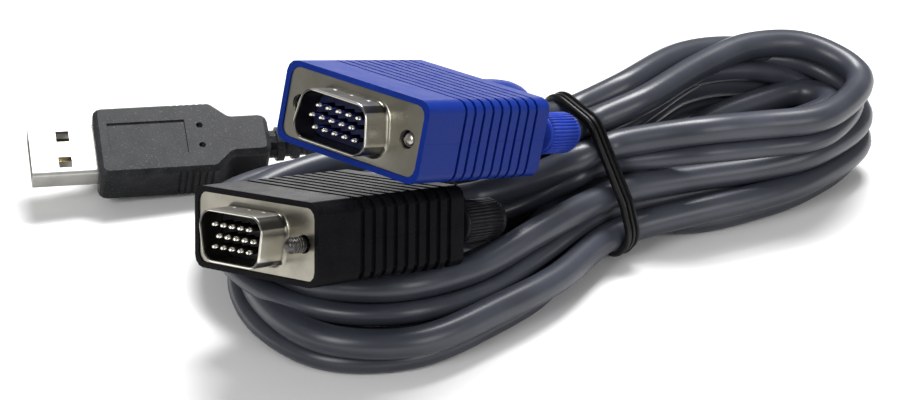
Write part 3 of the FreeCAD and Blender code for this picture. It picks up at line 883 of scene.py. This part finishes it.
RIGHT_LINE = [(46.1, 15.2, 22), (59.1, 19.4, 18), (69.1, 24.2, 35), (78.9, 35.4, 95), (72.1, 42.8, 160),
              (60.6, 39.1, 210), (48.6, 31.4, 228), (36.1, 17.6, 230)]
LEFT_LINE = [(12.1, 15.2, 188), (-4.9, 15.9, 178), (-20.9, 12.9, 202), (-32.9, 2.4, 240), (-36.9, -9.6, 266),
             (-31.2, -23.6, 305), (-20.4, -32.6, 336), (-7.8, -33.0, 17), (5.9, -22.0, 46), (14.8, -11.8, 49)]

# Each lane: outward from the line, height, and where the thin lead lies (degrees up from outward)
RIGHT_LANES = {
    "a": [(5.3, 22.8, -82), (4.6, 21.5, -82), (6.0, 21.0, -90), (2.8, 21.5, -100), (0.1, 24.5, -80),
          (0.7, 26.2, -60), (-1.0, 26.1, -60), (-0.5, 25.2, -70)],
    "b": [(3.1, 11.4, -110), (2.7, 10.9, -125), (3.7, 11.8, -150), (3.6, 12.9, -155), (4.2, 17.2, -165),
          (3.2, 24.0, 220), (3.8, 26.8, 235), (4.6, 26.4, 240)],
    "c": [(7.2, 6.4, -117), (5.7, 6.3, -117), (3.9, 6.3, -117), (3.8, 7.4, -117), (3.6, 11.0, -100),
          (3.2, 16.6, -85), (3.0, 19.2, -85), (2.8, 18.8, -100)],
    "d": [(-3.0, 16.2, -90), (-3.2, 16.2, -90), (-2.4, 16.0, -90), (-1.8, 15.8, -90), (-2.4, 15.4, -90),
          (-3.0, 15.0, -100), (-3.2, 14.4, -120), (-3.2, 13.2, -150)],
    "e": [(-3.2, 6.3, -124), (-3.2, 6.2, -124), (-2.4, 6.2, -120), (-1.8, 6.2, -115), (-2.4, 6.2, -115),
          (-3.0, 6.2, -120), (-3.2, 6.3, -124), (-3.2, 6.4, -124)],
}
LEFT_LANES = {
    "ad": [(-3.0, 14.0, 170), (-3.0, 11.6, 170), (-3.0, 9.8, 170), (-4.6, 8.8, 170), (-6.6, 8.4, 170),
           (-6.4, 8.6, 170), (-4.8, 8.6, 170), (-4.8, 7.8, 170), (-5.4, 6.6, 180), (-4.6, 6.2, 190)],
    "de": [(-3.0, 5.2, -170), (-3.0, 3.6, -170), (-3.0, 3.1, -170), (-3.6, 3.1, -170), (-5.6, 3.1, -170),
           (-4.0, 3.1, -170), (-1.5, 3.1, -170), (-1.0, 3.1, -170), (-1.0, 3.6, -170), (-1.5, 4.4, -170)],
    "ec": [(3.0, 4.8, -33), (3.0, 4.8, -33), (3.0, 4.8, -33), (1.2, 5.2, -40), (-0.1, 5.9, -53),
           (2.3, 6.6, -70), (5.2, 6.9, -95), (5.4, 6.6, -110), (5.7, 6.5, -112), (6.5, 6.0, -124)],
    "cb": [(3.0, 13.0, -60), (4.0, 11.2, -50), (8.0, 9.9, -30), (8.0, 9.4, 0), (3.0, 8.9, 20),
           (-2.0, 10.0, -10), (-2.8, 13.0, -50), (-2.4, 13.5, -60), (-1.0, 11.8, -65), (0.9, 13.4, -80)],
}

# Where each turn passes the tie, near and far: towards the viewer, height, and where the thin lead lies
NEAR_SLOTS = {"a": (-0.7, 19.9, -100), "b": (4.0, 12.4, -105), "c": (6.8, 5.4, -165),
              "d": (-4.6, 8.9, -100), "e": (-1.6, 4.7, 180)}
FAR_SLOTS = {"a": (-5.2, 23.3, -80), "b": (-10.8, 23.6, 262), "c": (-11.8, 16.2, -130),
             "d": (-11.0, 11.0, 180), "e": (-11.4, 6.4, -170)}
WAIST_REACH = 3.5
WINDING = ["a", "ad", "d", "de", "e", "ec", "c", "cb", "b"]

# Loose ends, in millimetres: steps out of each boot, and places between the boots and the waist
BLACK_STEPS = (-2, 2, 6)
BLUE_STEPS = (2, -2)
USB_STEPS = (9, 3, -2)
VIDEO_ENTRY = (14.5, 3.4, 15.6)
USB_ENTRY = (14.9, 4.2, 10.6)
VIDEO_LEAVE = (-10.4, 23.9, -1.6)
USB_LEAVE = ((14.6, 15.9, 8.5), (5.1, 27.4, 5.0), (-3.9, 36.4, 4.5))

# Smooth line of a lead: step and least radius in millimetres, rounds of easing and share of each
LEAD_STEP = 4.0
LEAST_BEND = 3.6
EASE_ROUNDS = 30
EASE_SHARE = 0.2


def lane(line, offsets):
    """Places of the thick and the thin lead along one lane of a loop."""
    pairs = []
    for (x, y, heading), (out, z, lean) in zip(line, offsets):
        h = math.radians(heading)
        outward = Vector((math.sin(h), -math.cos(h), 0.0))
        thick = Vector((x, y, z)) + outward * out
        pairs.append((thick, beside(thick, outward, lean)))
    return pairs


def beside(thick, outward, lean):
    """Place of the thin lead that is bonded to the thick one."""
    a = math.radians(lean)
    return thick + (outward * math.cos(a) + Vector((0.0, 0.0, math.sin(a)))) * TWIN_REACH


def in_tie(name, far, along):
    """Places of the thick and the thin lead where a turn passes the tie."""
    s, z, lean = (FAR_SLOTS if far else NEAR_SLOTS)[name]
    thick = waist(s, z, along)
    return thick, beside(thick, -WAIST_NEAR if far else WAIST_NEAR, lean)


def turns():
    """Places of the twin lead from the black plug's side of the waist to its far side, turn by turn."""
    pairs = []
    for name in WINDING:
        if len(name) == 1:
            pairs.append(in_tie(name, False, -WAIST_REACH))
            pairs.append(in_tie(name, False, WAIST_REACH))
            pairs += lane(RIGHT_LINE, RIGHT_LANES[name])
            pairs.append(in_tie(name, True, WAIST_REACH))
        else:
            pairs.append(in_tie(name[0], True, -WAIST_REACH))
            pairs += lane(LEFT_LINE, LEFT_LANES[name])
    return pairs


def flowing(places):
    """Points a short step apart on a smooth line through the places, whatever the distances between them."""
    ends = [2 * places[0] - places[1]] + places + [2 * places[-1] - places[-2]]
    line = []
    for before, here, there, after in zip(ends, ends[1:], ends[2:], ends[3:]):
        first = (here - before).length ** 0.5
        second = first + (there - here).length ** 0.5
        third = second + (after - there).length ** 0.5
        count = max(1, round((there - here).length / (LEAD_STEP * MM)))
        for i in range(count):
            t = first + (second - first) * i / count
            share = i / count
            leaving = before.lerp(here, t / first)
            between = here.lerp(there, share)
            coming = there.lerp(after, (t - second) / (third - second))
            early = leaving.lerp(between, t / second)
            late = between.lerp(coming, (t - first) / (third - first))
            line.append(early.lerp(late, share))
    return line + [places[-1]]


def eased(line):
    """The line with its sharpest turns drawn out, since a lead can't kink."""
    for _ in range(EASE_ROUNDS):
        for i in range(2, len(line) - 2):
            straight = (line[i - 1] + line[i + 1]) / 2
            chord = (line[i + 1] - line[i - 1]).length
            if chord ** 2 < 8 * LEAST_BEND * MM * (line[i] - straight).length:
                line[i] = line[i].lerp(straight, EASE_SHARE)
    return line


def lead(name, points, d):
    """Round lead on one smooth line."""
    curve = bpy.data.curves.new(name, "CURVE")
    curve.dimensions = "3D"
    curve.bevel_depth = d / 2 * MM
    curve.bevel_resolution = 6
    curve.resolution_u = 3
    curve.use_fill_caps = True
    spline = curve.splines.new("NURBS")
    controls = eased(flowing(points))
    spline.points.add(len(controls) - 1)
    for control, place in zip(spline.points, controls):
        control.co = (*place, 1.0)
    spline.order_u = 3
    spline.use_endpoint_u = True
    curve.materials.append(JACKET)
    return placed(name, curve)


def line_length(piece):
    """Length of a lead's own line."""
    bare = piece.data.copy()
    bare.bevel_depth = 0.0
    holder = placed("line", bare)
    mesh = evaluated_mesh(holder)
    bpy.data.objects.remove(holder)
    ends = [[mesh.vertices[corner].co for corner in edge.vertices] for edge in mesh.edges]
    return sum((here - there).length for here, there in ends)


twin = turns()
black_lift = USB_LEAD_D / 2
black_run = [BOOT_EXIT + step for step in BLACK_STEPS]
video_start = [at(POSES["black"], 0, y, black_lift) for y in black_run]
usb_start = [at(POSES["black"], 0, y, black_lift - TWIN_REACH) for y in black_run]
video_middle = [Vector(VIDEO_ENTRY) * MM] + [thick * MM for thick, thin in twin]
usb_middle = [Vector(USB_ENTRY) * MM] + [thin * MM for thick, thin in twin]
video_end = [waist(*VIDEO_LEAVE) * MM] + [at(POSES["blue"], 0, BOOT_EXIT + step, 0) for step in BLUE_STEPS]
usb_end = [Vector(place) * MM for place in USB_LEAVE]
usb_end += [at(POSES["usb"], 0, USB_LENGTH + step, 0) for step in USB_STEPS]

video_lead = lead("video_lead", video_start + video_middle + video_end, VIDEO_LEAD_D)
usb_lead = lead("usb_thin_lead", usb_start + usb_middle + usb_end, USB_LEAD_D)
finish_piece(video_lead, "cable", "lead_jacket", "cable_hank", "black_video_lead", "blue_video_lead")
finish_piece(usb_lead, "cable", "lead_jacket", "black_usb_lead", "usb_lead")
line_length(video_lead)
line_length(usb_lead)


# Floor, light and camera, in metres and degrees

FLOOR_REACH = 3.0
FLOOR_SHADE = (0.3, 0.3, 0.3)
FLOOR_WHITE = (0.95, 0.95, 0.95)
SEEN_RAYS = ("Is Camera Ray", "Is Glossy Ray", "Is Transmission Ray")

# Place, width and depth, and power of each lamp
LAMPS = {
    "overhead": ((0.1, 0.4, 0.85), (0.5, 0.3), 12.0),
    "front left": ((-0.5, -0.7, 0.6), (0.4, 0.4), 4.0),
    "front right": ((0.6, -0.6, 0.4), (0.4, 0.4), 2.0),
}
LAMP_TARGET = Vector((0.0, 0.0, 0.01))

CAMERA_PLACE = (0.0001, -0.3976, 0.243)
CAMERA_ELEVATION = 30.0
CAMERA_LENS = 97.6


def pale_floor():
    """Wide floor that looks white to the camera except where the object shades it."""
    form = bmesh.new()
    corners = [(-1, -1), (1, -1), (1, 1), (-1, 1)]
    form.faces.new([form.verts.new((x * FLOOR_REACH, y * FLOOR_REACH, 0.0)) for x, y in corners])
    mesh = closed(form, "floor")
    material, shade, shader = new_material("pale floor")
    rays = shade.node("ShaderNodeLightPath").socket.node.outputs
    seen = sum(Shade(shade.tree, rays[kind]) for kind in SEEN_RAYS)
    tone = seen.maths("MINIMUM", seen, 1.0).mixed(FLOOR_SHADE, FLOOR_WHITE)
    connect(material, shader, Base_Color=tone)
    shader.inputs["Roughness"].default_value = 0.9
    shader.inputs["Specular IOR Level"].default_value = 0.0
    floor = mesh_object("floor", mesh, material)


def lamp(name, place, size, power):
    """Rectangular lamp that faces the object."""
    light = bpy.data.lights.new(name, "AREA")
    light.shape = "RECTANGLE"
    light.size, light.size_y = size
    light.energy = power
    holder = placed(name, light)
    holder.location = place
    holder.rotation_euler = (LAMP_TARGET - Vector(place)).to_track_quat("-Z", "Y").to_euler()


def studio_world(strength):
    """Even pale surround."""
    world = bpy.data.worlds.new("studio")
    world.use_nodes = True
    bpy.context.scene.world = world
    background = world.node_tree.nodes["Background"]
    background.inputs["Color"].default_value = (1.0, 1.0, 1.0, 1.0)
    background.inputs["Strength"].default_value = strength


def photo_camera():
    """Camera with the view of the photo."""
    camera = bpy.data.cameras.new("camera")
    camera.lens = CAMERA_LENS
    camera.sensor_width = 36.0
    camera.clip_start = 0.01
    holder = placed("camera", camera)
    holder.location = CAMERA_PLACE
    holder.rotation_euler = (math.radians(90.0 - CAMERA_ELEVATION), 0.0, 0.0)
    bpy.context.scene.camera = holder


pale_floor()
for name, (place, size, power) in LAMPS.items():
    lamp(name, place, size, power)
studio_world(strength=0.27)
photo_camera()
bpy.context.scene.view_settings.view_transform = "Standard"
